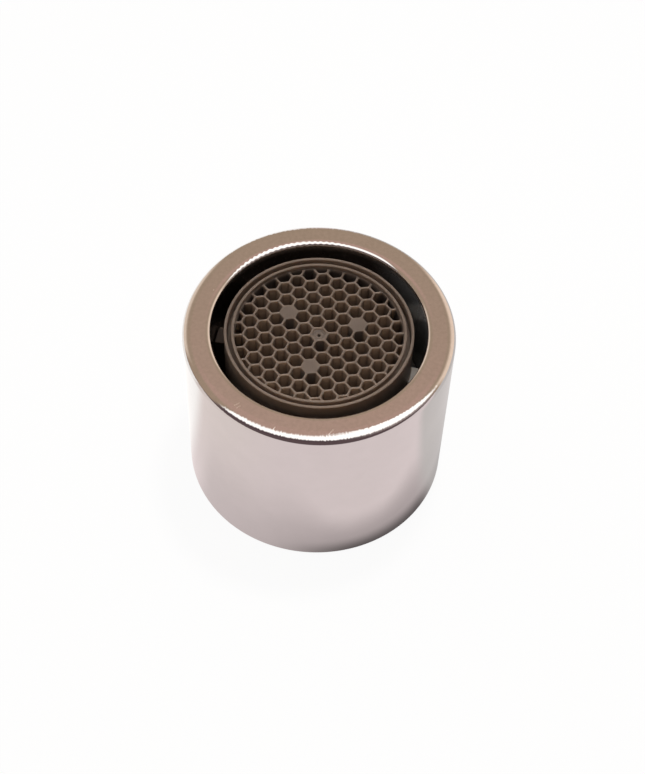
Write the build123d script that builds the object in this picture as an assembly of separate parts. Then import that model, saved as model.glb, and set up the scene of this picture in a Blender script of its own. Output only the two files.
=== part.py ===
from build123d import *
import math
import os

# Tap aerator, in millimetres. It stands on its tap end: the origin is the centre of the tap-end rim,
# and +Z runs along the axis to the outlet. Radii are worked out from the thread inwards, and heights
# from the tap end upwards, so each piece follows what it sits in.

# Housing: turned brass
thread_major_d = 22.0
thread_depth = 0.54
thread_length = 5.35
thread_wall = 1.0
mouth_chamfer = 0.35
lip_outer_round = 0.9
lip_inner_round = 0.5
rim_round = 0.25
lip_rise = 0.55

# Sealing washer: rubber
washer_thickness = 1.8
washer_inset = 0.4
washer_play = 0.05
washer_end_gap = 0.1

# Core sleeve: moulded
flange_thickness = 2.0
flange_clearance = 0.16
seat_width = 0.78
air_gap = 1.17
sleeve_wall = 0.8
sleeve_end_wall = 0.25
sleeve_end_round = 0.08
plate_ledge_width = 0.45
screen_ledge_width = 0.6
screen_ledge_height = 0.6
window_count = 8
window_width = 3.4
window_height = 1.6
window_margin = 0.2
rib_width = 1.7
rib_clearance = 0.12
rib_setback = 3.7
first_rib_angle = 33.0

# Inlet strainer: moulded
strainer_rim_height = 0.8
strainer_rim_width = 0.95
strainer_wall = 0.6
dome_shoulder = 0.35
dome_rise = 1.6
slot_rings = 4
slot_pitch = 0.95
slot_width = 0.5
slot_bar = 0.5
strainer_hub_r = 1.0

# Jet plate: moulded
plate_thickness = 1.4
jet_d = 0.9
jet_rings = 4
jet_pitch = 1.55
jet_margin = 0.3
leg_count = 4
leg_depth = 0.6
leg_width = 1.2
leg_inset = 0.2

# Mixing screens and their spacers
screen_thickness = 0.3
screen_rim = 0.5
mesh_pitch = 1.2
mesh_wire = 0.3
spacer_height = 0.8
spacer_width = 0.75

# Honeycomb outlet: moulded
cell_pitch = 1.364
cell_wall = 0.17
cell_angle = 38.9
cell_margin = 0.04
cell_depth = 2.75
ridge_rise = 0.46
ridge_width = 0.25
ridge_round = 0.08
groove_width = 0.35
groove_depth = 0.7
sleeve_rise = 0.07
gate_dish = 0.3
gate_dimple_d = 0.34
gate_dimple_depth = 0.15

# Fits
press_gap = 0.03
slip_gap = 0.08

# Radii, from the thread inwards
thread_r = thread_major_d / 2
housing_r = thread_r + thread_wall
plain_bore_r = thread_r - thread_depth
washer_r = plain_bore_r - washer_play
flange_r = plain_bore_r - flange_clearance
outlet_bore_r = flange_r - seat_width
sleeve_r = outlet_bore_r - air_gap
sleeve_bore_r = sleeve_r - sleeve_wall
disc_pocket_r = sleeve_r - sleeve_end_wall
plate_pocket_r = sleeve_bore_r + plate_ledge_width
washer_bore_r = plate_pocket_r + washer_inset
rib_r = outlet_bore_r - rib_clearance
screen_ledge_r = sleeve_bore_r - screen_ledge_width
plate_r = plate_pocket_r - press_gap
disc_r = disc_pocket_r - press_gap
screen_r = sleeve_bore_r - slip_gap
ridge_r = disc_r - groove_width
field_r = ridge_r - ridge_width
leg_r = sleeve_bore_r - leg_inset

# Heights, from the tap end to the outlet
thread_end_z = mouth_chamfer + thread_length
washer_z = thread_end_z + washer_end_gap
flange_z = washer_z + washer_thickness
seat_z = flange_z + flange_thickness
plate_z = flange_z + strainer_rim_height
plate_ledge_z = plate_z + plate_thickness
window_z = plate_ledge_z + window_margin
first_screen_z = window_z + window_height + window_margin
screen_step = screen_thickness + spacer_height
screen_ledge_z = first_screen_z + 2 * screen_step + screen_thickness
disc_z = screen_ledge_z + screen_ledge_height
face_z = disc_z + cell_depth
ridge_z = face_z + ridge_rise
sleeve_end_z = ridge_z + sleeve_rise
housing_height = sleeve_end_z + lip_rise


def turned(points, rounds=()):
    """Solid of revolution about Z from (radius, height) points, with the named corners rounded."""
    face = make_face(Polyline(*points, close=True))
    for corner, radius in rounds:
        vertex = face.vertices().sort_by_distance((*corner, 0))[0]
        face = fillet(vertex, radius)
    return revolve(Plane.XZ * face, axis=Axis.Z)


def ring(inner_r, outer_r, z, height):
    """Plain ring that stands on height z."""
    return Pos(0, 0, z) * extrude(Circle(outer_r) - Circle(inner_r), height)


def radial_bar(length, width, z, height, start_r=0.0):
    """Straight bar along +X that begins at a radius and stands on height z."""
    return Pos(start_r, 0, z) * Box(length, width, height, align=(Align.MIN, Align.CENTER, Align.MIN))


def around(count, first_angle=0.0):
    """Even angles round the axis."""
    return [first_angle + 360 * k / count for k in range(count)]


def make_housing():
    """Housing: thread bore, plain bore, seat for the core, outlet bore and rounded lip."""
    lip_outer = (housing_r, housing_height)
    lip_inner = (outlet_bore_r, housing_height)
    rim_outer = (housing_r, 0)
    points = [
        (thread_r + mouth_chamfer, 0),
        rim_outer,
        lip_outer,
        lip_inner,
        (outlet_bore_r, seat_z),
        (plain_bore_r, seat_z),
        (plain_bore_r, thread_end_z),
        (thread_r, thread_end_z),
        (thread_r, mouth_chamfer),
    ]
    rounds = [(lip_outer, lip_outer_round), (lip_inner, lip_inner_round), (rim_outer, rim_round)]
    return turned(points, rounds)


def make_sealing_washer():
    """Flat rubber ring on the core's flange, a close fit in the plain bore."""
    return ring(washer_bore_r, washer_r, washer_z, washer_thickness)


def make_core_sleeve():
    """Sleeve: flange on the housing's seat, air windows, centring ribs and pockets at both ends."""
    end_outer = (sleeve_r, sleeve_end_z)
    end_inner = (disc_pocket_r, sleeve_end_z)
    points = [
        (plate_pocket_r, flange_z),
        (flange_r, flange_z),
        (flange_r, seat_z),
        (sleeve_r, seat_z),
        end_outer,
        end_inner,
        (disc_pocket_r, disc_z),
        (screen_ledge_r, disc_z),
        (screen_ledge_r, screen_ledge_z),
        (sleeve_bore_r, screen_ledge_z),
        (sleeve_bore_r, plate_ledge_z),
        (plate_pocket_r, plate_ledge_z),
    ]
    sleeve = turned(points, [(end_outer, sleeve_end_round), (end_inner, sleeve_end_round)])

    rib_root_r = sleeve_r - sleeve_end_wall / 2
    rib_length = sleeve_end_z - rib_setback - seat_z
    rib_band = ring(rib_root_r, rib_r, seat_z, rib_length)
    rib = rib_band & radial_bar(rib_r, rib_width, seat_z, rib_length)
    window = radial_bar(sleeve_r, window_width, window_z, window_height)
    half_step = 180 / window_count
    ribs = [Rot(0, 0, angle) * rib for angle in around(window_count, first_rib_angle)]
    windows = [Rot(0, 0, angle) * window for angle in around(window_count, first_rib_angle + half_step)]
    return sleeve - windows + ribs


def make_inlet_strainer():
    """Slotted dome with a flat rim, seated in the flange's pocket on the jet plate."""
    dome_r = plate_r - dome_shoulder
    rim_inner_r = plate_r - strainer_rim_width
    sphere_r = (dome_r**2 + dome_rise**2) / (2 * dome_rise)
    dome_z = flange_z - dome_rise
    sphere_z = dome_z + sphere_r

    def dome_point(radius, offset):
        """Point of the dome's section at a radius, on the sphere moved inwards by an offset."""
        return (radius, sphere_z - math.sqrt((sphere_r - offset) ** 2 - radius**2))

    outside = ThreePointArc(dome_point(0, 0), dome_point(dome_r / 2, 0), dome_point(dome_r, 0))
    inside = ThreePointArc(
        dome_point(rim_inner_r, strainer_wall),
        dome_point(rim_inner_r / 2, strainer_wall),
        dome_point(0, strainer_wall),
    )
    rim = Polyline(
        outside @ 1,
        (plate_r, flange_z),
        (plate_r, plate_z),
        (rim_inner_r, plate_z),
        inside @ 0,
    )
    axis_edge = Line(inside @ 1, outside @ 0)
    strainer = revolve(Plane.XZ * make_face([outside, rim, inside, axis_edge]), axis=Axis.Z)

    ring_step = (rim_inner_r - strainer_hub_r) / slot_rings
    slot_length = ring_step - slot_bar
    slots = []
    for k in range(slot_rings):
        start_r = strainer_hub_r + k * ring_step
        slot = radial_bar(slot_length, slot_width, dome_z, plate_z - dome_z, start_r)
        count = math.floor(2 * math.pi * start_r / slot_pitch)
        slots += [Rot(0, 0, angle) * slot for angle in around(count)]
    return strainer - slots


def make_jet_plate():
    """Perforated plate on the sleeve's ledge, with legs that hold the screens down."""
    plate = Pos(0, 0, plate_z) * extrude(Circle(plate_r), plate_thickness)
    leg_inner_r = leg_r - leg_depth
    leg_length = first_screen_z - plate_ledge_z
    leg_band = ring(leg_inner_r, leg_r, plate_ledge_z, leg_length)
    leg = leg_band & radial_bar(leg_r, leg_width, plate_ledge_z, leg_length)
    legs = [Rot(0, 0, angle) * leg for angle in around(leg_count, first_rib_angle)]

    jet = Pos(0, 0, plate_z) * extrude(Circle(jet_d / 2), plate_thickness)
    outer_ring_r = leg_inner_r - jet_margin - jet_d / 2
    jets = []
    for k in range(1, jet_rings + 1):
        ring_r = outer_ring_r * k / jet_rings
        count = math.floor(2 * math.pi * ring_r / jet_pitch)
        jets += [Rot(0, 0, angle) * Pos(ring_r, 0, 0) * jet for angle in around(count)]
    return plate - jets + legs


def make_screen():
    """Wire screen, at the first place in the flow: a disc with a plain rim and a square grid of gaps."""
    gap = mesh_pitch - mesh_wire
    reach = math.ceil(screen_r / mesh_pitch)
    gaps = []
    for i in range(-reach, reach + 1):
        for j in range(-reach, reach + 1):
            far_corner = math.hypot(abs(i) * mesh_pitch + gap / 2, abs(j) * mesh_pitch + gap / 2)
            if far_corner < screen_r - screen_rim:
                gaps.append(Pos(i * mesh_pitch, j * mesh_pitch) * Rectangle(gap, gap))
    return Pos(0, 0, first_screen_z) * extrude(Circle(screen_r) - gaps, screen_thickness)


def make_spacer():
    """Ring between the first screen and the second."""
    return ring(screen_r - spacer_width, screen_r, first_screen_z + screen_thickness, spacer_height)


def honeycomb_centres(reach_r):
    """Centres of the hexagonal cells whose middle lies within a radius, with their lattice steps."""
    row_a = Vector(cell_pitch, 0).rotate(Axis.Z, cell_angle)
    row_b = row_a.rotate(Axis.Z, 60)
    reach = math.ceil(2 * reach_r / cell_pitch)
    steps = [(i, j) for i in range(-reach, reach + 1) for j in range(-reach, reach + 1)]
    centres = {step: row_a * step[0] + row_b * step[1] for step in steps}
    return {step: centre for step, centre in centres.items() if centre.length < reach_r}


def make_honeycomb_outlet():
    """Honeycomb disc: ridge inside an open groove, round field of cells, filled cells and gate mark."""
    ridge_outer = (ridge_r, ridge_z)
    ridge_inner = (field_r, ridge_z)
    groove_z = ridge_z - groove_depth
    points = [
        (0, disc_z),
        (disc_r, disc_z),
        (disc_r, groove_z),
        (ridge_r, groove_z),
        ridge_outer,
        ridge_inner,
        (field_r, face_z),
        (0, face_z),
    ]
    disc = turned(points, [(ridge_outer, ridge_round), (ridge_inner, ridge_round)])

    cell = RegularPolygon((cell_pitch - cell_wall) / 2, 6, major_radius=False, rotation=cell_angle - 30)
    filled = [(0, 0), (3, -1), (-2, 3), (-1, -2)]
    centres = honeycomb_centres(field_r + cell_wall)
    field = Circle(field_r - cell_margin)
    cells = [field & (Pos(*centre) * cell) for step, centre in centres.items() if step not in filled]
    cuts = [Pos(0, 0, disc_z) * extrude(outline, cell_depth) for outline in cells]
    cuts.append(Pos(0, 0, face_z - gate_dish) * extrude(cell, gate_dish))
    dimple_z = face_z - gate_dish - gate_dimple_depth
    cuts.append(Pos(0, 0, dimple_z) * extrude(Circle(gate_dimple_d / 2), gate_dimple_depth))
    return disc - cuts


screen = make_screen()
spacer = make_spacer()
next_place = Pos(0, 0, screen_step)
pieces = {
    "housing": make_housing(),
    "sealing_washer": make_sealing_washer(),
    "inlet_strainer": make_inlet_strainer(),
    "jet_plate": make_jet_plate(),
    "core_sleeve": make_core_sleeve(),
    "first_screen": screen,
    "first_spacer": spacer,
    "second_screen": next_place * screen,
    "second_spacer": next_place * spacer,
    "third_screen": next_place * next_place * screen,
    "honeycomb_outlet": make_honeycomb_outlet(),
}

os.makedirs("parts", exist_ok=True)
for name, piece in pieces.items():
    export_step(piece, f"parts/{name}.step")
    print(f"{name}: {len(piece.solids())} solid, {piece.volume:.2f} mm3")
print(f"height {housing_height:.2f}, outlet bore radius {outlet_bore_r:.2f}, honeycomb face at {face_z:.2f}")
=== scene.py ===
# %% [markdown]
# A tap aerator is the small turned fitting on the end of a tap. Here it stands on its tap end, with the
# outlet upwards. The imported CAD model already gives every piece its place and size, so the lesson begins
# by loading it as a fixed frame and noting its box: nothing that is added later may stand outside it.

# %% Load the frame
import math

import bmesh
import bpy
import numpy as np
from mathutils import Matrix, Vector, geometry


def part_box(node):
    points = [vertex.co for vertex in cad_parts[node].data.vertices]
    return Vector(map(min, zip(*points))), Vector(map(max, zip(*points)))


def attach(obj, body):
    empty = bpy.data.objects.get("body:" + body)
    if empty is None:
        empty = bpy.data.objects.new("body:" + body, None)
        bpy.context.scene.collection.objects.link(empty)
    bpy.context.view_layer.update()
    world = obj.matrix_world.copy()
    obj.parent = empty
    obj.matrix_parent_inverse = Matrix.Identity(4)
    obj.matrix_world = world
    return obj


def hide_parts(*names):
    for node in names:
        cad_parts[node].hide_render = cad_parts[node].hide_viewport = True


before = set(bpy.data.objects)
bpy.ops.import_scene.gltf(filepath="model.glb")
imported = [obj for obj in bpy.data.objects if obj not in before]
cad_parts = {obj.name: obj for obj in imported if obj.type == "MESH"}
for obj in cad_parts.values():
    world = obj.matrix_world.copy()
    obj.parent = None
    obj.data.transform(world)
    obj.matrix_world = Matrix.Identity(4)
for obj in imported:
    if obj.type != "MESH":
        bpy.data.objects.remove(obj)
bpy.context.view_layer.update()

MM = 0.001
print("CAD nodes:", ", ".join(sorted(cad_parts)))

# %% [markdown]
# The sizes come from two places. Outer sizes are read from the boxes of the CAD nodes, so they follow the
# frame. The few that no box shows, such as the rounding of the lip, are the turner's and the mould maker's
# own numbers, and are written here once in millimetres.

# %% Read the main sizes
housing_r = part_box("housing")[1].x
housing_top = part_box("housing")[1].z
flange_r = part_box("core_sleeve")[1].x
flange_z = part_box("core_sleeve")[0].z
washer_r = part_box("sealing_washer")[1].x
disc_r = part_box("honeycomb_outlet")[1].x
disc_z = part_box("honeycomb_outlet")[0].z
ridge_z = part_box("honeycomb_outlet")[1].z
screen_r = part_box("first_screen")[1].x

thread_wall = 1.0 * MM
thread_depth = 0.54 * MM
thread_pitch = 1.0 * MM
thread_length = 5.35 * MM
mouth_chamfer = 0.35 * MM
lip_outer_round = 0.9 * MM
lip_inner_round = 0.5 * MM
rim_round = 0.25 * MM
seat_width = 0.78 * MM
air_gap = 1.17 * MM
flange_thickness = 2.0 * MM
ridge_rise = 0.46 * MM

thread_r = housing_r - thread_wall
plain_bore_r = thread_r - thread_depth
thread_end_z = mouth_chamfer + thread_length
outlet_bore_r = flange_r - seat_width
seat_z = flange_z + flange_thickness
face_z = ridge_z - ridge_rise
print(f"housing {2 * housing_r / MM:.1f} mm across, {housing_top / MM:.1f} mm high")

# %% [markdown]
# The camera stands where the photographer's did. The even pitch of the honeycomb is a ruler in the
# picture: its rows shrink with distance and with the tilt, which fixes the height of the view, the
# distance and the small roll of the hand-held camera. The lens follows from the size in the frame.

# %% Place the camera
view_elevation = math.radians(54.04)
view_roll = math.radians(-2.2)
view_distance = 130.5 * MM
view_aim = Vector((0.48 * MM, -5.757 * MM, face_z))
sensor_height = 36.0
focal_pixels = 1525.4
picture_height = 774

view_right = Vector((1, 0, 0))
view_up = Vector((0, math.sin(view_elevation), math.cos(view_elevation)))
view_back = view_right.cross(view_up)
camera_x = view_right * math.cos(view_roll) - view_up * math.sin(view_roll)
camera_y = view_right * math.sin(view_roll) + view_up * math.cos(view_roll)

lens = bpy.data.cameras.new("photo_camera")
lens.sensor_fit = "VERTICAL"
lens.sensor_height = sensor_height
lens.lens = focal_pixels * sensor_height / picture_height
lens.clip_start = 1 * MM
lens.clip_end = 20
camera = bpy.data.objects.new("photo_camera", lens)
turn = Matrix((camera_x, camera_y, view_back)).transposed()
camera.matrix_world = Matrix.Translation(view_aim + view_back * view_distance) @ turn.to_4x4()
bpy.context.scene.collection.objects.link(camera)
bpy.context.scene.camera = camera
print(f"camera {view_distance / MM:.0f} mm away, lens {lens.lens:.1f} mm")

# %% [markdown]
# Finishes are built from shader nodes. Wiring them by hand is hard to read, so two small helpers turn
# sums into nodes: a Value stands for one socket and each operator on it adds a Math node, and a Sheet is
# one node tree whose single method adds any other node. Two short functions open and close a material.

# %% Helpers for shader sums
class Value:
    """A shader socket in a sum: an operator between it and a number or another Value adds a Math node."""

    def __init__(self, sheet, socket):
        self.sheet = sheet
        self.socket = socket

    def maths(self, operation, first, second=0.0):
        return self.sheet.node("Math", {"operation": operation}, {0: first, 1: second})

    def __add__(self, other):
        return self.maths("ADD", self, other)

    def __sub__(self, other):
        return self.maths("SUBTRACT", self, other)

    def __rsub__(self, other):
        return self.maths("SUBTRACT", other, self)

    def __mul__(self, other):
        return self.maths("MULTIPLY", self, other)

    def __truediv__(self, other):
        return self.maths("DIVIDE", self, other)

    def __rtruediv__(self, other):
        return self.maths("DIVIDE", other, self)

    def __pow__(self, other):
        return self.maths("POWER", self, other)

    def __neg__(self):
        return self.maths("MULTIPLY", self, -1.0)

    __radd__ = __add__
    __rmul__ = __mul__


class Sheet:
    """One node tree. Every node in it is added by the same method."""

    def __init__(self, tree):
        self.tree = tree
        tree.nodes.clear()

    def node(self, kind, settings=None, sockets=None, out=0):
        """Adds a node, sets it up, then fills its sockets with values or links, and returns one output."""
        made = self.tree.nodes.new("ShaderNode" + kind)
        for name, setting in (settings or {}).items():
            setattr(made, name, setting)
        for name, value in (sockets or {}).items():
            if isinstance(value, Value):
                self.tree.links.new(value.socket, made.inputs[name])
            else:
                made.inputs[name].default_value = value
        return Value(self, made.outputs[out]) if made.outputs else None

    def step(self, value, start, end):
        """0 below start, 1 above end, with a smooth rise between them."""
        sockets = {"Value": value, "From Min": start, "From Max": end}
        return self.node("MapRange", {"interpolation_type": "SMOOTHSTEP"}, sockets)

    def band(self, value, start, end, soft):
        """1 between two limits, with a smooth rise and fall of a given width across each of them."""
        rise = self.step(value, start - soft / 2, start + soft / 2)
        return rise * (1 - self.step(value, end - soft / 2, end + soft / 2))

    def mix(self, factor, first, second):
        """Colour that goes from the first to the second as the factor goes from 0 to 1."""
        colours = {0: factor, 6: first, 7: second}
        return self.node("Mix", {"data_type": "RGBA", "clamp_factor": True}, colours, out=2)

    def split(self, vector):
        """The three parts of a vector."""
        parts = self.node("SeparateXYZ", sockets={0: vector})
        return [Value(self, socket) for socket in parts.socket.node.outputs]

    def noise(self, place, scale, detail=2.0, roughness=0.5):
        """Smooth cloudy noise about 0.5, with a number of waves for each unit of the place."""
        sockets = {"Vector": place, "Scale": scale, "Detail": detail, "Roughness": roughness}
        return self.node("TexNoise", sockets=sockets)

    def millimetres(self):
        """The place on the piece in millimetres: Object coordinates times a thousand."""
        place = self.node("TexCoord", out=3)
        return self.node("VectorMath", {"operation": "SCALE"}, {0: place, "Scale": 1 / MM})


def colour(red, green, blue):
    """A colour with its alpha, for a socket."""
    return (red, green, blue, 1.0)


def new_finish(name):
    """A new material with an empty sheet."""
    material = bpy.data.materials.new(name)
    material.use_nodes = True
    return material, Sheet(material.node_tree)


def close_finish(material, sheet, sockets):
    """Ends a finish with one Principled shader, and gives the material back."""
    shader = sheet.node("BsdfPrincipled", sockets=sockets)
    sheet.node("OutputMaterial", sockets={"Surface": shader})
    return material


print("shader helpers ready")

# %% [markdown]
# The stage is a plain pale floor under soft light. Bright metal shows its whole surroundings, so what it
# mirrors has to be right all round. To the camera the floor is white and keeps a soft shadow. In the metal
# it is a little warm, with painted shadow that makes it greyer to the right and darker towards the foot,
# and painted light that makes it paler on the left; it falls away to dark a short way in front, as the end
# of a table does. Inside the foot it is lit only by what comes through the part.

# %% Lay the floor
def make_floor_finish(table_end, end_soft):
    """Pale floor: white to the camera with a soft shadow, apart from the dark inside of the foot. In
    reflections it is warm, with painted shadow that makes it greyer to the right and darker towards the foot
    by the distance from it, painted light that makes it paler on the left, and dark past the table's end."""
    material, sheet = new_finish("pale_floor")
    warm, rosy, dusk = colour(0.94, 0.84, 0.805), colour(0.935, 0.822, 0.828), colour(0.14, 0.096, 0.102)
    grey, pale, black = colour(0.72, 0.68, 0.67), colour(1.2, 1.17, 1.15), colour(0.0, 0.0, 0.0)
    seen = sheet.node("LightPath", out=0)
    glossy = sheet.node("LightPath", out=3)
    x, y, _ = sheet.split(sheet.millimetres())
    gap = (x * x + y * y) ** 0.5 - housing_r / MM
    right = sheet.step(x, -5, 5)
    beside = sheet.step(y, -7, -3.5)

    near = sheet.mix(sheet.step(x, -26, -6), warm, rosy)
    # Painted shadow: in reflections the floor to the right of the object is greyer.
    near = sheet.mix(beside * sheet.step(x, 2, 8), near, grey)
    # Painted light: in reflections the floor beside the object on the left is paler.
    near = sheet.mix(sheet.step(y, -3, 2) * (1 - sheet.step(x, -12, -4)), near, pale)
    # Painted shade: darker towards the foot by the distance from it, with a painted contact shadow at the
    # foot on the right.
    front = 1 - beside * 0.7
    reach = 8.5 - right * 5.3 + sheet.step(y, -12, -7) * right * 1.8
    away = sheet.step((gap - right) / reach, 0, 1)
    shade = (1 - away) * (0.19 + sheet.step(x, -10, 4) * 0.21) * front
    painted_contact_shadow = (1 - sheet.step(gap, 0.1, 1.4)) * right * front * 0.72
    near = sheet.mix(painted_contact_shadow, sheet.mix(shade, near, black), black)
    past_end = sheet.step(-y, table_end - end_soft / 2, table_end + end_soft / 2)
    reflected = sheet.mix(past_end, near, dusk)

    lit = sheet.node("BsdfDiffuse", sockets={"Color": colour(0.90, 0.90, 0.90)})
    glow = sheet.node("Emission", sockets={"Color": sheet.mix(glossy, colour(1, 1, 1), reflected)})
    open_floor = sheet.step(gap, -1.5, -0.5)
    both = sheet.node("MixShader", sockets={0: seen * open_floor * 0.93 + glossy, 1: lit, 2: glow})
    sheet.node("OutputMaterial", sockets={"Surface": both})
    return material


floor_half = 1.0
floor_drop = 0.02 * MM
floor_mesh = bpy.data.meshes.new("floor")
floor_corners = floor_half * np.array([[-1, -1, 0], [1, -1, 0], [1, 1, 0], [-1, 1, 0]])
floor_mesh.from_pydata(floor_corners - [0, 0, floor_drop], [], [(0, 1, 2, 3)])
floor = bpy.data.objects.new("floor", floor_mesh)
floor.data.materials.append(make_floor_finish(table_end=35, end_soft=8))
bpy.context.scene.collection.objects.link(floor)
print("floor laid")

# %% [markdown]
# The air round the object is a function of direction. Elevation and azimuth come from the direction
# vector, and soft bands of them mark out what the metal mirrors: a plain taupe room, a broad window in
# front with its sill, the dark beyond the table, and a pale wall on either side. Each shows as a line on the
# rounded lip. Matt surfaces don't need so much detail: they get soft light from above, a little from behind
# and from the left, as from a light tent, and a small key lamp high up behind shines into the cells.

# %% Light the studio
def make_studio_air():
    """World colour by direction: for the metal a room with side walls, a dark sill and the window, and
    for matt surfaces a tent that brightens upwards, to the back and to the left."""
    world = bpy.data.worlds.new("studio_air")
    world.use_nodes = True
    sheet = Sheet(world.node_tree)
    low_room, high_room = colour(0.48, 0.355, 0.26), colour(0.60, 0.40, 0.325)
    dark_sill, pale_sill = colour(0.125, 0.085, 0.092), colour(0.40, 0.32, 0.31)
    tent_foot, tent_top = colour(0.17, 0.15, 0.136), colour(1.04, 0.985, 0.94)
    seen = sheet.node("LightPath", out=0)
    glossy = sheet.node("LightPath", out=3)
    x, y, z = sheet.split(sheet.node("TexCoord", out=0))
    degree = math.pi / 180
    elevation = x.maths("ARCSINE", z) / degree
    azimuth = x.maths("ARCTAN2", x, -y) / degree

    air = sheet.mix(sheet.step(elevation, 46, 60), low_room, high_room)
    right_wall = sheet.band(azimuth, 98, 156, 14) * (1 - sheet.step(elevation, 24, 46))
    air = sheet.mix(right_wall, air, colour(1.12, 0.88, 0.71))
    left_wall = sheet.band(azimuth, -154, -112, 12) * (1 - sheet.step(elevation, 18, 40))
    air = sheet.mix(left_wall, air, colour(0.98, 0.80, 0.66))
    sill = sheet.band(azimuth, -72, 86, 14) * (1 - sheet.step(elevation, 20, 28))
    air = sheet.mix(sill, air, sheet.mix(sheet.step(azimuth, 10, 60), dark_sill, pale_sill))
    far_floor = sheet.band(azimuth, -112, 92, 14) * (1 - sheet.step(elevation, -2, 6))
    air = sheet.mix(far_floor, air, colour(0.135, 0.09, 0.096))
    window_top = 1 - sheet.step(elevation - azimuth * 0.2, 56, 80)
    window = sheet.band(azimuth, -70, 96, 10) * sheet.step(elevation, 14, 29) * window_top
    air = sheet.mix(window, air, colour(1.75, 1.70, 1.66))

    towards_tent = y * 0.30 + z * 0.89 - x * 0.34
    tent = sheet.mix(sheet.step(towards_tent, 0.2, 0.98), tent_foot, tent_top)
    air = sheet.mix(seen, sheet.mix(glossy, tent, air), colour(1, 1, 1))
    sheet.node("OutputWorld", sockets={"Surface": sheet.node("Background", sockets={"Color": air})})
    return world


bpy.context.scene.world = make_studio_air()
bpy.context.scene.view_settings.view_transform = "Standard"

key_azimuth = math.radians(150)
key_elevation = math.radians(79)
key_distance = 200 * MM
key_size = 24 * MM
key_power = 0.16
key_out = math.cos(key_elevation)
key_way = Vector((
    math.sin(key_azimuth) * key_out,
    -math.cos(key_azimuth) * key_out,
    math.sin(key_elevation),
))
key_light = bpy.data.lights.new("key_light", "AREA")
key_light.shape = "DISK"
key_light.size = key_size
key_light.energy = key_power
key_light.color = (1.0, 0.97, 0.94)
key = bpy.data.objects.new("key_light", key_light)
key.location = key_way * key_distance
key.rotation_euler = key_way.to_track_quat("Z", "Y").to_euler()
key.visible_glossy = False
bpy.context.scene.collection.objects.link(key)
print("window in front, key light high up and a little behind")

# %% [markdown]
# New pieces are surfaces on grids of points. Four helpers are enough for all of them: one joins the points
# of a grid with faces, one draws a section with rounded corners, one turns a section round the axis, and
# one makes the object, merges the points that its surfaces share and reports whether the skin is closed.

# %% Helpers for surfaces
merge_distance = 0.0002 * MM


def grid_faces(rows, columns, close_rows=False, close_columns=False):
    """Faces between neighbours on a grid of points, which may close on itself either way."""
    row = np.arange(rows if close_rows else rows - 1)[:, None]
    column = np.arange(columns if close_columns else columns - 1)[None, :]
    next_row = (row + 1) % rows
    next_column = (column + 1) % columns
    corners = [(row, column), (row, next_column), (next_row, next_column), (next_row, column)]
    return np.stack([r * columns + c for r, c in corners], axis=-1).reshape(-1, 4)


def rounded_section(corners, arc_steps=10, hold=0.02 * MM):
    """Closed (radius, height) section through corners given as (radius, height, round, rows after it).

    A round corner becomes an arc about the point that is its radius away from both sides. Each straight
    side keeps one point close to either end, so that flat faces stay flat in smooth shading."""
    places = np.array([corner[:2] for corner in corners], float)
    rounds = np.array([corner[2] for corner in corners], float)
    sides = np.roll(places, -1, axis=0) - places
    lengths = np.linalg.norm(sides, axis=1)
    ahead = sides / lengths[:, None]
    back = -np.roll(ahead, 1, axis=0)
    half = np.arccos(np.clip((back * ahead).sum(axis=1), -1, 1)) / 2
    starts = rounds / np.tan(half)
    share = np.linspace(0, 1, arc_steps + 1)[:, None]
    section = []
    for k, (_, _, radius, rows) in enumerate(corners):
        towards = (back[k] + ahead[k]) / np.linalg.norm(back[k] + ahead[k])
        middle = places[k] + towards * radius / math.sin(half[k])
        first = places[k] + back[k] * starts[k] - middle
        last = places[k] + ahead[k] * starts[k] - middle
        sweep = math.pi - 2 * half[k]
        arc = (np.sin((1 - share) * sweep) * first + np.sin(share * sweep) * last) / math.sin(sweep)
        section.append(places[k] + back[k] * (starts[k] + hold))
        section.append(middle + arc if radius else places[k])
        run = lengths[k] - starts[k] - starts[(k + 1) % len(corners)] - 2 * hold
        steps = np.linspace(0, 1, rows + 1, endpoint=False)[:, None]
        section.append(places[k] + ahead[k] * (starts[k] + hold + steps * run))
    return np.concatenate([np.atleast_2d(part) for part in section])


def revolve(radius, height, columns):
    """Ring of points for every point of a section: radius times the cosine and sine of the angle."""
    angle = np.linspace(0, 2 * np.pi, columns, endpoint=False)
    radius = radius.reshape(len(height), -1)
    across = radius * np.cos(angle)
    along = radius * np.sin(angle)
    up = np.broadcast_to(height[:, None], across.shape)
    return np.stack([across, along, up], axis=-1)


def make_piece(name, surfaces, finish, node, sharp=35):
    """Object from (points, faces) surfaces in place of a CAD node, which is hidden; it hangs from the root
    body.
    """
    points, faces, first = [], [], 0
    for surface_points, surface_faces in surfaces:
        flat = np.asarray(surface_points, float).reshape(-1, 3)
        points.append(flat)
        faces += (np.asarray(surface_faces) + first).tolist()
        first += len(flat)
    mesh = bpy.data.meshes.new(name)
    mesh.from_pydata(np.concatenate(points), [], faces)
    skin = bmesh.new()
    skin.from_mesh(mesh)
    bmesh.ops.remove_doubles(skin, verts=skin.verts, dist=merge_distance)
    bmesh.ops.dissolve_degenerate(skin, edges=skin.edges, dist=merge_distance / 2)
    open_edges = sum(not edge.is_manifold for edge in skin.edges)
    volume = skin.calc_volume(signed=True) / MM**3
    skin.to_mesh(mesh)
    skin.free()
    mesh.polygons.foreach_set("use_smooth", np.ones(len(mesh.polygons), bool))
    mesh.set_sharp_from_angle(angle=math.radians(sharp))
    mesh.materials.append(finish)
    piece = bpy.data.objects.new(name, mesh)
    bpy.context.scene.collection.objects.link(piece)
    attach(piece, "root")
    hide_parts(node)
    print(f"{name}: {len(mesh.polygons)} faces, {open_edges} open edges, {volume:.1f} mm3")
    return piece


print("surface helpers ready")
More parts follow.
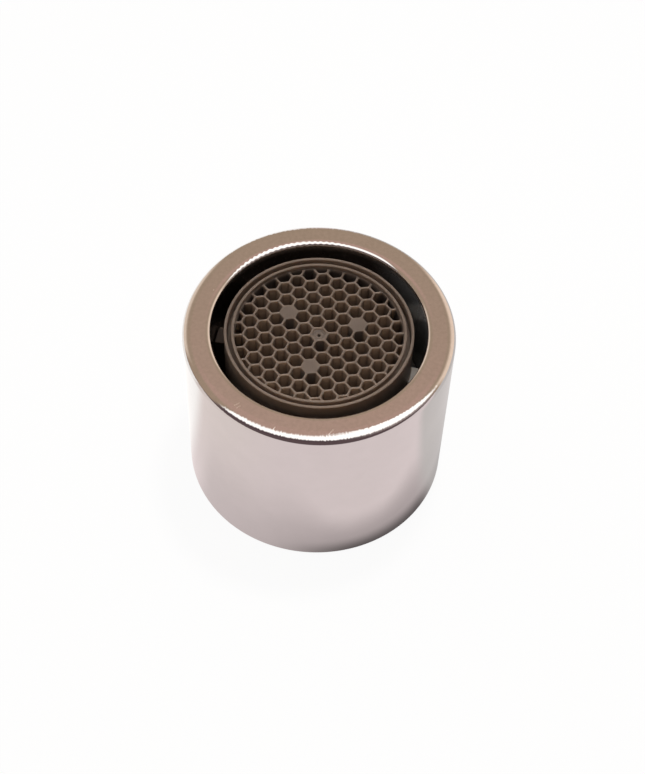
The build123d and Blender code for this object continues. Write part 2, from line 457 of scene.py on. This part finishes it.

# %% [markdown]
# Chrome plate over turned brass is nearly a mirror, so its look is mostly the studio's. What the plate
# adds is small: a faint cloudy stain, a slight haze that varies, a fine mottle on the lip and a few short
# scratches. The lip's two rounded edges look buffed: the surface leans a little inwards or outwards there,
# most at the sides, and fine radial strokes bead the highlight at the back left and fringe the one in front.
# Each lean is added to the normal along the radius. Down in the outlet bore plating hardly reaches, so the
# metal there is dull and dark. On its right side it is less metallic and slate-grey, a painted light that
# makes that side paler, as if lit from the left.

# %% Chrome finish
bead_count = 116
bead_lean = 0.10
bead_start, bead_end = 1.35, 2.5
stroke_scale = 85
stroke_lean = 0.5
inner_side_lean = 0.45
inner_back_lean = -0.35
outer_side_lean = 0.27
rim_scratches = [
    ((-6.86, -8.81), (-6.41, -8.49)),
    ((-6.66, -9.06), (-6.33, -8.79)),
    ((-3.58, -11.11), (-3.31, -10.79)),
    ((1.11, -11.39), (1.55, -10.83)),
    ((-9.52, 3.58), (-9.44, 3.70)),
    ((10.10, -5.90), (10.20, -5.74)),
]


def scratch(sheet, x, y, start, end, width=0.09):
    """1 on a straight line between two points, 0 elsewhere: bands of the places along and across it."""
    length = math.dist(start, end)
    way_x, way_y = (end[0] - start[0]) / length, (end[1] - start[1]) / length
    along = (x - start[0]) * way_x + (y - start[1]) * way_y
    across = (y - start[1]) * way_x - (x - start[0]) * way_y
    return sheet.band(along, 0, length, 0.06) * sheet.band(across, -width / 2, width / 2, width)


def make_chrome_finish():
    """Mirror metal with faint stains and scratches. On the lip's rounds the normal leans along the radius:
    by a sine of the angle on the inner one, by noise of the angle on the outer one, and on both by a share
    of its own slope that follows the square of x / radius."""
    material, sheet = new_finish("chrome_plate_finish")
    place = sheet.millimetres()
    x, y, z = sheet.split(place)
    radius = (x * x + y * y) ** 0.5
    angle = x.maths("ARCTAN2", y, x)
    lip_top = housing_top / MM
    flat_outer = (housing_r - lip_outer_round) / MM
    flat_inner = (outlet_bore_r + lip_inner_round) / MM
    on_lip = sheet.step(z, lip_top - 0.8, lip_top - 0.6)
    on_outer = on_lip * sheet.step(radius, flat_outer, flat_outer + 0.15)
    on_inner = on_lip * (1 - sheet.step(radius, flat_inner - 0.15, flat_inner))
    bore_r = outlet_bore_r / MM
    in_bore = 1 - sheet.step(radius, bore_r + 0.03, bore_r + 0.15)
    in_bore = in_bore * (1 - sheet.step(z, lip_top - 1.0, lip_top - 0.4))
    # Painted light: the right side of the bore is less metallic and slate-grey, so it looks lit from the
    # left.
    painted_light_slate = in_bore * sheet.step(x, 4, 8)

    wobble = sheet.noise(place, 0.8, 2.0)
    beads = x.maths("SINE", angle * bead_count + wobble * 5) * on_inner * bead_lean
    beads = beads * sheet.band(angle, bead_start, bead_end, 0.3)
    outwards = sheet.node("CombineXYZ", sockets={0: x / radius, 1: y / radius})
    sideways = (x / radius) ** 2
    strokes = (sheet.noise(outwards, stroke_scale, 2.0) - 0.5) * on_outer * (1 - sideways) * stroke_lean
    normal = sheet.node("NewGeometry", out=1)
    facing = sheet.node("VectorMath", {"operation": "DOT_PRODUCT"}, {0: normal, 1: outwards}, out=1)
    buffed = on_inner * (sideways * (inner_side_lean - inner_back_lean) + inner_back_lean)
    buffed = buffed + on_outer * sideways * outer_side_lean
    amount = beads + strokes - buffed * facing
    lean = sheet.node("VectorMath", {"operation": "SCALE"}, {0: outwards, "Scale": amount})
    normal = sheet.node("VectorMath", {"operation": "ADD"}, {0: normal, 1: lean})
    normal = sheet.node("VectorMath", {"operation": "NORMALIZE"}, {0: normal})
    grain = sheet.noise(place, 5.0, 2.0)
    bump = sheet.node("Bump", sockets={"Height": grain, "Distance": 0.0005 * MM, "Normal": normal})

    cloud = sheet.noise(place, 0.5, 3.0)
    speck = sheet.step(sheet.noise(place, 9.0, 1.0), 0.72, 0.78)
    marks = sum(scratch(sheet, x, y, start, end) for start, end in rim_scratches) * on_lip
    base = sheet.mix(cloud, colour(0.63, 0.615, 0.60), colour(0.68, 0.66, 0.65))
    dim, bright = colour(0.50, 0.495, 0.475), colour(0.81, 0.78, 0.775)
    base = sheet.mix(on_lip * 0.4, base, sheet.mix(sheet.noise(place, 3.0, 3.0), dim, bright))
    base = sheet.mix(marks * 0.8, base, colour(0.92, 0.90, 0.87))
    base = sheet.mix(in_bore, base, colour(0.17, 0.155, 0.15))
    base = sheet.mix(painted_light_slate, base, colour(0.15, 0.158, 0.165))
    rough = 0.05 + cloud * 0.03 + speck * 0.10 + marks * 0.35 + in_bore * 0.2
    sockets = {"Base Color": base, "Metallic": 1 - painted_light_slate * 0.6, "Roughness": rough, "Normal": bump}
    return close_finish(material, sheet, sockets)


chrome = make_chrome_finish()
print("made", chrome.name)

# %% [markdown]
# The housing is one turned shell, so one section goes round the axis. Only the thread isn't turned: the
# wall of its bore moves in and out along a helix, which is the same grid with a radius that depends on the
# height and the angle together. The chamfer at the mouth cuts the thread's first turn to a cone.

# %% Turn the housing
crest_half = 1 / 8
root_half = 7 / 16
run_out_turns = 0.4


def thread_ridge(height, angle):
    """How far the thread stands out of its groove, from 0 to 1, at a height and an angle.

    The phase is the height less one pitch for each turn. The ridge is a trapezium of that phase: flat
    for an eighth of a pitch either side of its middle, gone at seven sixteenths."""
    phase = (height / thread_pitch - angle / (2 * np.pi)) % 1.0
    return np.clip((root_half - np.abs(phase - 0.5)) / (root_half - crest_half), 0, 1)


def make_housing(columns=320, thread_rows=90):
    """Housing: the section revolved, with the ridge taken off the radius in the thread's rows, down to
    nothing over the last part of a turn."""
    section = rounded_section([
        (thread_r + mouth_chamfer, 0, 0, 0),
        (housing_r, 0, rim_round, 6),
        (housing_r, housing_top, lip_outer_round, 2),
        (outlet_bore_r, housing_top, lip_inner_round, 4),
        (outlet_bore_r, seat_z, 0, 0),
        (plain_bore_r, seat_z, 0, 2),
        (plain_bore_r, thread_end_z, 0, 0),
        (thread_r, thread_end_z, 0, thread_rows),
        (thread_r, mouth_chamfer, 0, 0),
    ], arc_steps=14)
    radius, height = section[:, :1], section[:, 1:]
    angle = np.linspace(0, 2 * np.pi, columns, endpoint=False)[None, :]
    in_thread = (height > mouth_chamfer) & (height < thread_end_z) & (np.abs(radius - thread_r) < 1e-6)
    run_out = np.clip((thread_end_z - height) / (run_out_turns * thread_pitch), 0, 1)
    cut = radius - thread_depth * run_out * thread_ridge(height, angle)
    cone = thread_r + mouth_chamfer - height
    threaded = np.where(in_thread, np.maximum(cut, cone), radius)
    points = revolve(threaded, section[:, 1], columns)
    faces = grid_faces(len(section), columns, close_rows=True, close_columns=True)
    return make_piece("chromed_housing", [(points, faces)], chrome, "housing")


make_housing()

# %% [markdown]
# The honeycomb and its sleeve are moulded in one taupe plastic. The thin walls let some light through: in
# the photograph a cell beside a solid one is darker than its neighbours. Subsurface scattering gives that
# by itself, as long as the walls have their real thickness and the mesh is closed. Some light and shade is
# painted into the colour as well: the plastic is painted paler to the front as if lit more there, the ribs in
# the air gap get painted shade on the left and painted light on the right, and the narrow cells along the
# rim get painted shade. These are masks of the place on the piece, so one function makes the plain finish
# and, where it is given a radius, one with painted shade and light.

# %% Taupe plastic finish
def make_taupe_finish(name, wall_r=None, comb_r=None):
    """Satin plastic: slightly mottled colour, painted paler to the front as if lit more there, fine grain,
    light that wanders inside. Outside a wall of a given radius, in the air gap, it has painted shade on the
    left and painted light on the right. Just inside a comb of a given radius the narrow cells get painted
    shade, at the sides and the back."""
    material, sheet = new_finish(name)
    place = sheet.millimetres()
    x, y, z = sheet.split(place)
    radius = (x * x + y * y) ** 0.5
    mottle = sheet.noise(place, 0.9, 3.0)
    grain = sheet.noise(place, 14.0, 2.0)
    base = sheet.mix(mottle, colour(0.138, 0.106, 0.086), colour(0.160, 0.126, 0.104))
    base = sheet.mix(sheet.step(grain, 0.3, 0.75) * 0.35, base, colour(0.115, 0.087, 0.069))
    # Painted light: the plastic is paler towards the front, as if lit more there.
    base = sheet.mix(sheet.step(-y, 0, 7) * 0.45, base, colour(0.205, 0.160, 0.130))
    if comb_r:
        # Painted shade in the narrow cells along the rim, at the sides and the back.
        edge, face = comb_r / MM, face_z / MM
        narrow = sheet.step(radius, edge - 1.0, edge - 0.3) * (1 - sheet.step(radius, edge, edge + 0.1))
        painted_rim_shade = narrow * (1 - sheet.step(z, face - 0.5, face - 0.05)) * sheet.step(y, -5, -1)
        base = sheet.mix(painted_rim_shade * 0.8, base, colour(0.035, 0.025, 0.020))
    if wall_r:
        wall = wall_r / MM
        # Painted shade on the left of the air gap and painted light on the right.
        dark, lit_pale = colour(0.045, 0.033, 0.027), colour(0.33, 0.305, 0.28)
        painted_gap_light_shade = sheet.mix(sheet.step(x, -2, 6), dark, lit_pale)
        base = sheet.mix(sheet.step(radius, wall + 0.03, wall + 0.15), base, painted_gap_light_shade)
    return close_finish(material, sheet, {
        "Base Color": base,
        "Roughness": 0.46 + mottle * 0.1,
        "Normal": sheet.node("Bump", sockets={"Height": grain, "Distance": 0.004 * MM}),
        "Subsurface Weight": 1.0,
        "Subsurface Radius": (1.0, 0.86, 0.74),
        "Subsurface Scale": 1.0 * MM,
    })


taupe = make_taupe_finish("taupe_plastic_finish")
# Painted shade and light on the ribs in the air gap.
gap_light_shade_taupe = make_taupe_finish("gap_light_shade_taupe_finish", wall_r=outlet_bore_r - air_gap)
print("made", taupe.name, gap_light_shade_taupe.name)

# %% [markdown]
# A honeycomb is a lattice, so its cells can all be worked out at once. Each opening is described by the
# distance from a point inside it to its edge, all round: the edge is the nearest of six flats and the
# round rim. A soft minimum rounds the corners as a mould does, and the same formula with a slightly wider
# opening gives the rounded top edge.

# %% Lay out the cells
cell_pitch = 1.364 * MM
cell_wall = 0.17 * MM
cell_angle = math.radians(38.9)
cell_edge_round = 0.05 * MM
ridge_width = 0.25 * MM
ridge_round = 0.08 * MM
groove_width = 0.35 * MM
groove_depth = 0.7 * MM
groove_slope = 0.2 * MM
groove_round = 0.06 * MM
cell_margin = 0.04 * MM
corner_power = 24
lattice_reach = 14
ridge_r = disc_r - groove_width
field_r = ridge_r - ridge_width
filled_cells = np.array([(0, 0), (3, -1), (-2, 3), (-1, -2)])
flat_normals = cell_angle + np.radians(60) * np.arange(6)
outline_angles = cell_angle + np.radians(15) * np.arange(24)


def cell_centres():
    """Lattice points i A + j B whose cell reaches the field: the open ones, then the filled ones."""
    row_a = cell_pitch * np.array([math.cos(cell_angle), math.sin(cell_angle)])
    row_b = cell_pitch * np.array([math.cos(cell_angle + np.pi / 3), math.sin(cell_angle + np.pi / 3)])
    along = np.arange(-lattice_reach, lattice_reach + 1)
    i, j = np.meshgrid(along, along)
    steps = np.stack([i.ravel(), j.ravel()], axis=1)
    centres = steps @ np.stack([row_a, row_b])
    near = np.linalg.norm(centres, axis=1) < field_r + cell_wall
    steps, centres = steps[near], centres[near]
    filled = (steps[:, None, :] == filled_cells[None]).all(-1).any(-1)
    return centres[~filled], centres[filled]


def cell_edges(centres, widen, rim_r):
    """Points round each opening: (cells, angles, 2).

    From a point m inside the cell, flat k with normal n is met after (half - n.(m - c)) / n.u along the
    direction u, and the rim circle after -m.u + sqrt((m.u)^2 - m.m + R^2). The power sum of the seven
    distances, of order -corner_power, is their minimum with the corners rounded."""
    half = (cell_pitch - cell_wall) / 2 + widen
    away = np.linalg.norm(centres, axis=1, keepdims=True)
    out = centres / np.maximum(away, 1e-9)
    middles = out * (np.maximum(away - half, 0) + np.minimum(away + half, rim_r)) / 2
    middles = np.where(away < half, centres, middles)
    way = np.stack([np.cos(outline_angles), np.sin(outline_angles)], axis=1)
    normal = np.stack([np.cos(flat_normals), np.sin(flat_normals)], axis=1)
    room = half - (middles - centres) @ normal.T
    facing = np.maximum(normal @ way.T, 1e-6)
    to_flats = room[:, :, None] / facing[None]
    lean = middles @ way.T
    to_rim = -lean + np.sqrt(lean**2 - (middles**2).sum(1)[:, None] + rim_r**2)
    reach = np.concatenate([to_flats, to_rim[:, None, :]], axis=1)
    nearest = reach.min(axis=1, keepdims=True)
    soft = nearest[:, 0] * ((nearest / reach) ** corner_power).sum(axis=1) ** (-1 / corner_power)
    return middles[:, None, :] + soft[:, :, None] * way[None]


centres, filled_centres = cell_centres()
print(f"{len(centres)} open cells of {cell_pitch / MM:.2f} mm pitch, {len(filled_centres)} filled ones")

# %% [markdown]
# The disc is several surfaces that share their borders: a tube down each cell, the web on top, the web
# below, the rim with its ridge, and the dish of the middle cell. A flat web with many holes has no grid of
# its own, so it is filled by a triangulation between the borders that the other surfaces already have.

# %% Fill the web between the cells
def at_height(points, height):
    """Flat points lifted to a height, or to one height for each row of points."""
    heights = np.reshape(height, np.shape(height) + (1,) * (points.ndim - np.ndim(height)))
    return np.concatenate([points, np.broadcast_to(heights, points.shape[:-1] + (1,))], axis=-1)


def web(outer, pads, holes, height, upwards):
    """Flat sheet inside a loop, with holes: a constrained triangulation of the loops' own points.

    It fills the holes as well, so a face with all three corners on one hole's loop is dropped. Pads are
    loops that are no holes: they keep the middle of a filled cell flat in smooth shading."""
    loops = [outer, *pads, *holes]
    sizes = [len(loop) for loop in loops]
    owner = np.repeat(np.arange(len(loops)), sizes)
    rings = np.split(np.arange(sum(sizes)), np.cumsum(sizes)[:-1])
    edges = np.concatenate([np.stack([ring, np.roll(ring, -1)], axis=1) for ring in rings])
    flat = np.concatenate(loops)
    found = geometry.delaunay_2d_cdt([Vector(point) for point in flat / MM], edges.tolist(), [], 2, 1e-6)
    source = np.array([origins[0] for origins in found[3]])
    faces = source[np.array(found[2])]
    owners = owner[faces]
    in_hole = (owners == owners[:, :1]).all(axis=1) & (owners[:, 0] > len(pads))
    faces = faces[~in_hole]
    return at_height(flat, height), faces if upwards else faces[:, ::-1]


print("web ready")

# %% [markdown]
# The middle cell is where the plastic was fed into the mould. It is a shallow dish with faint ring marks,
# a low collar, and a pin-sized hole. Its rings go from the cell's hexagon to a circle by mixing the two
# outlines, which keeps one even grid from the wall to the pole in the middle.

# %% Shape the gate mark
gate_depth = 0.3 * MM
gate_bowl = 0.16 * MM
gate_hole_r = 0.13 * MM
gate_hole_depth = 0.9 * MM
gate_collar_r = 0.24 * MM
gate_collar_height = 0.06 * MM
gate_ring_pitch = 0.16 * MM
gate_ring_height = 0.012 * MM


def gate_dish(edge, rings=40):
    """Rings from a cell's edge to its middle: (rings, angles, 3).

    A ring at share s has the radius s (s h + (1 - s) m), where h is the edge's own radius and m its
    least. Its height is the floor, plus a bowl that rises as the square of s, a cosine of the distance for
    the ring marks and a bell for the collar, less a flat-topped bell for the hole."""
    reach = np.linalg.norm(edge, axis=1)
    share = np.linspace(1, 0, rings)[:, None]
    radius = share * (share * reach + (1 - share) * reach.min())
    away = (share * reach.min())[:, 0]
    marks = gate_ring_height * np.cos(2 * np.pi * away / gate_ring_pitch) * (away < 0.8 * reach.min())
    collar = gate_collar_height * np.exp(-((away - gate_collar_r) / (0.35 * gate_collar_r)) ** 2)
    hole = gate_hole_depth * np.exp(-((away / gate_hole_r) ** 8))
    height = face_z - gate_depth + gate_bowl * share[:, 0] ** 2 + marks + collar - hole
    return at_height(radius[:, :, None] * edge / reach[:, None], height)


print(f"gate mark {gate_depth / MM:.1f} mm deep")

# %% [markdown]
# Every open cell is the same tube with another outline. Its first rows turn through a quarter circle,
# which rounds the web's edge, and the rest go straight down. The outlines of all cells come as one array.
# The disc takes the finish with painted shade in the narrow cells along the rim, placed by the field's own
# radius.

# %% Mould the honeycomb
pad_inset = 0.1 * MM


def cell_tubes(centres, depth, rows):
    """Tubes down from the top of the web: points (cells, rows, angles, 3), faces, and the top outlines.

    Row k of the rounded edge lies r (1 - cos a) below the face and is r (1 - sin a) wider than the cell."""
    turn = np.linspace(0, np.pi / 2, 4)
    drops = np.append(cell_edge_round * (1 - np.cos(turn)), np.linspace(cell_edge_round, depth, rows + 1)[1:])
    widens = np.append(cell_edge_round * (1 - np.sin(turn)), np.zeros(rows))
    rims = field_r - cell_margin + np.minimum(widens, 0.4 * cell_margin)
    outlines = np.stack([cell_edges(centres, widen, rim) for widen, rim in zip(widens, rims)], axis=1)
    heights = np.broadcast_to((face_z - drops)[None, :, None, None], outlines.shape[:3] + (1,))
    points = np.concatenate([outlines, heights], axis=-1)
    faces = grid_faces(len(drops), len(outline_angles), close_columns=True)
    first = len(drops) * len(outline_angles) * np.arange(len(centres))
    return points, (faces + first[:, None, None]).reshape(-1, 4), outlines


def disc_rim(columns):
    """Side, groove and ridge of the disc: the section from the lower edge to the field, revolved."""
    groove_z = ridge_z - groove_depth
    section = rounded_section([
        (disc_r, disc_z, 0, 2),
        (disc_r, groove_z - groove_slope, 0, 0),
        (ridge_r, groove_z + groove_slope, groove_round, 0),
        (ridge_r, ridge_z, ridge_round, 0),
        (field_r, ridge_z, ridge_round, 0),
        (field_r, face_z, 0, 0),
    ], arc_steps=5)
    start = int(np.argmin(np.hypot(section[:, 0] - disc_r, section[:, 1] - disc_z)))
    section = np.roll(section, -start, axis=0)
    end = int(np.argmin(np.hypot(section[:, 0] - field_r, section[:, 1] - face_z))) + 1
    points = revolve(section[:end, 0], section[:end, 1], columns)
    return points, grid_faces(end, columns, close_columns=True)


def make_honeycomb(columns=240):
    """Honeycomb outlet: tubes, gate mark, webs and rim, joined along their shared borders."""
    depth = face_z - disc_z
    tubes, tube_faces, outlines = cell_tubes(centres, depth, rows=2)
    middle = np.argmin(np.linalg.norm(filled_centres, axis=1))
    gate_centre = filled_centres[middle : middle + 1]
    gate_wall, gate_faces, gate_outlines = cell_tubes(gate_centre, gate_depth - gate_bowl, rows=1)
    dish = gate_dish(gate_outlines[0, -1])
    dish_faces = grid_faces(*dish.shape[:2], close_columns=True)

    angle = np.linspace(0, 2 * np.pi, columns, endpoint=False)
    circle = np.stack([np.cos(angle), np.sin(angle)], axis=1)
    solid = np.delete(filled_centres, middle, axis=0)
    pads = cell_edges(solid, -pad_inset, field_r)
    top_holes = np.concatenate([outlines[:, 0], gate_outlines[:, 0]])
    top = web(field_r * circle, pads, top_holes, face_z, True)
    bottom = web(disc_r * circle, [], outlines[:, -1], disc_z, False)
    cells = [(tubes, tube_faces), (gate_wall, gate_faces), (dish, dish_faces)]
    surfaces = [*cells, top, bottom, disc_rim(columns)]
    return make_piece("honeycomb_outlet_disc", surfaces, rim_shaded_taupe, "honeycomb_outlet")


# This finish carries painted shade in the narrow cells along the rim.
rim_shaded_taupe = make_taupe_finish("rim_shaded_taupe_finish", comb_r=field_r)
make_honeycomb()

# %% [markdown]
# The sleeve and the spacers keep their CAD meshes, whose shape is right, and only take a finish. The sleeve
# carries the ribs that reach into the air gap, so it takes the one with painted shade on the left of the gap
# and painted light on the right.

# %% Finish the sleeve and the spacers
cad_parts["core_sleeve"].material_slots[0].material = gap_light_shade_taupe
for node in ("first_spacer", "second_spacer"):
    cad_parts[node].material_slots[0].material = taupe
print("taupe plastic on the sleeve and spacers")

# %% [markdown]
# Pieces that are hidden in this view still have their own finishes: black rubber for the washer, a pale
# plastic for the strainer and the jet plate, and bright steel for the wire screens. The strainer and the
# plate keep their CAD meshes.

# %% Rubber, pale plastic and steel
def make_rubber_finish():
    """Matt black rubber with a fine grain and faint grey bloom."""
    material, sheet = new_finish("black_rubber_finish")
    place = sheet.millimetres()
    bloom = sheet.noise(place, 0.6, 4.0)
    grain = sheet.noise(place, 11.0, 2.0)
    base = sheet.mix(bloom, colour(0.016, 0.016, 0.017), colour(0.040, 0.040, 0.041))
    bump = sheet.node("Bump", sockets={"Height": grain, "Distance": 0.008 * MM})
    sockets = {"Base Color": base, "Roughness": 0.62 + bloom * 0.2, "Normal": bump}
    return close_finish(material, sheet, sockets)


def make_pale_finish():
    """Pale satin plastic, slightly translucent, with a soft mottle and a moulded grain."""
    material, sheet = new_finish("pale_plastic_finish")
    place = sheet.millimetres()
    mottle = sheet.noise(place, 0.7, 3.0)
    grain = sheet.noise(place, 12.0, 2.0)
    base = sheet.mix(mottle, colour(0.52, 0.52, 0.50), colour(0.62, 0.62, 0.60))
    bump = sheet.node("Bump", sockets={"Height": grain, "Distance": 0.004 * MM})
    sockets = {
        "Base Color": base,
        "Roughness": 0.38 + mottle * 0.12,
        "Normal": bump,
        "Subsurface Weight": 0.3,
        "Subsurface Radius": (1.0, 0.9, 0.8),
        "Subsurface Scale": 0.4 * MM,
    }
    return close_finish(material, sheet, sockets)


def make_steel_finish():
    """Bright drawn wire: metal with a fine haze."""
    material, sheet = new_finish("steel_wire_finish")
    place = sheet.millimetres()
    haze = sheet.noise(place, 4.0, 3.0)
    base = sheet.mix(haze, colour(0.50, 0.49, 0.47), colour(0.62, 0.61, 0.59))
    sockets = {"Base Color": base, "Metallic": 1.0, "Roughness": 0.26 + haze * 0.16}
    return close_finish(material, sheet, sockets)


rubber, pale, steel = make_rubber_finish(), make_pale_finish(), make_steel_finish()
for node in ("inlet_strainer", "jet_plate"):
    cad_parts[node].material_slots[0].material = pale
print("made", rubber.name, pale.name, steel.name)

# %% [markdown]
# The washer is a rubber ring, cut from a moulded tube, and its edges are soft. A rounded section turned
# about the axis gives that in one grid.

# %% Turn the washer
washer_width = 2.01 * MM
washer_edge_round = 0.28 * MM


def make_washer(columns=144):
    """Rubber washer: a rectangle with rounded corners, revolved."""
    low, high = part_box("sealing_washer")[0].z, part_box("sealing_washer")[1].z
    inner_r = washer_r - washer_width
    section = rounded_section([
        (inner_r, low, washer_edge_round, 2),
        (washer_r, low, washer_edge_round, 1),
        (washer_r, high, washer_edge_round, 2),
        (inner_r, high, washer_edge_round, 1),
    ], arc_steps=6)
    points = revolve(section[:, 0], section[:, 1], columns)
    faces = grid_faces(len(section), columns, close_rows=True, close_columns=True)
    return make_piece("rubber_washer", [(points, faces)], rubber, "sealing_washer")


make_washer()

# %% [markdown]
# The mixing screens are plain woven wire, held by a flat rim. Each wire waves over one crossing wire and
# under the next, so its height is a cosine along its length, and its neighbour's is the same half a wave
# later. All wires one way are one array, and the wires across are the same array with two axes swapped.

# %% Weave the screens
mesh_pitch = 0.6 * MM
screen_rim_width = 0.5 * MM
wire_touch = 0.003 * MM


def woven_wires(reach_r, wire_r, wave, middle, first_phase, samples=64, sides=6):
    """Wires along x, as points (wires, samples, sides, 3) with a pole at either end.

    Wire k lies at y = k p and z = m + w cos(pi (x / p + k) + phase). Its section is a circle across the
    path: the side direction is y, and the other is up, leaned back by the slope of the wave."""
    k = np.arange(-int(reach_r / mesh_pitch), int(reach_r / mesh_pitch) + 1)[:, None, None]
    share = np.concatenate([[-1], np.linspace(-1, 1, samples), [1]])[None, :, None]
    thickness = np.ones(samples + 2)
    thickness[[0, -1]] = 0
    x = share * np.sqrt(reach_r**2 - (k * mesh_pitch) ** 2)
    turn = np.pi * (x / mesh_pitch + k) + first_phase
    height = middle + wave * np.cos(turn)
    slope = -wave * np.pi / mesh_pitch * np.sin(turn)
    around = np.linspace(0, 2 * np.pi, sides, endpoint=False)[None, None, :]
    lift = wire_r * thickness[None, :, None] * np.sin(around) / np.sqrt(1 + slope**2)
    sideways = wire_r * thickness[None, :, None] * np.cos(around)
    return np.stack([x - slope * lift, k * mesh_pitch + sideways, height + lift], axis=-1)


def make_woven_screen(node, columns=96):
    """Woven screen: wires along x and along y, inside a rim with rounded edges."""
    low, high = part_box(node)[0].z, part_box(node)[1].z
    wire_r = (high - low) / 4 - wire_touch
    wave = (high - low) / 4 + wire_touch
    inner_r = screen_r - screen_rim_width
    reach_r = screen_r - 0.5 * screen_rim_width
    along = woven_wires(reach_r, wire_r, wave, (low + high) / 2, 0)
    across = woven_wires(reach_r, wire_r, wave, (low + high) / 2, np.pi)[..., [1, 0, 2]]
    faces = grid_faces(along.shape[1], along.shape[2], close_columns=True)
    first = along.shape[1] * along.shape[2] * np.arange(len(along))
    wire_faces = (faces + first[:, None, None]).reshape(-1, 4)
    edge_round = 0.2 * (high - low)
    section = rounded_section([
        (inner_r, low, edge_round, 0),
        (screen_r, low, edge_round, 0),
        (screen_r, high, edge_round, 0),
        (inner_r, high, edge_round, 0),
    ], arc_steps=3)
    rim = revolve(section[:, 0], section[:, 1], columns)
    rim_faces = grid_faces(len(section), columns, close_rows=True, close_columns=True)
    surfaces = [(along, wire_faces), (across, wire_faces[:, ::-1]), (rim, rim_faces)]
    return make_piece("woven_" + node, surfaces, steel, node, sharp=60)


for node in ("first_screen", "second_screen", "third_screen"):
    make_woven_screen(node)
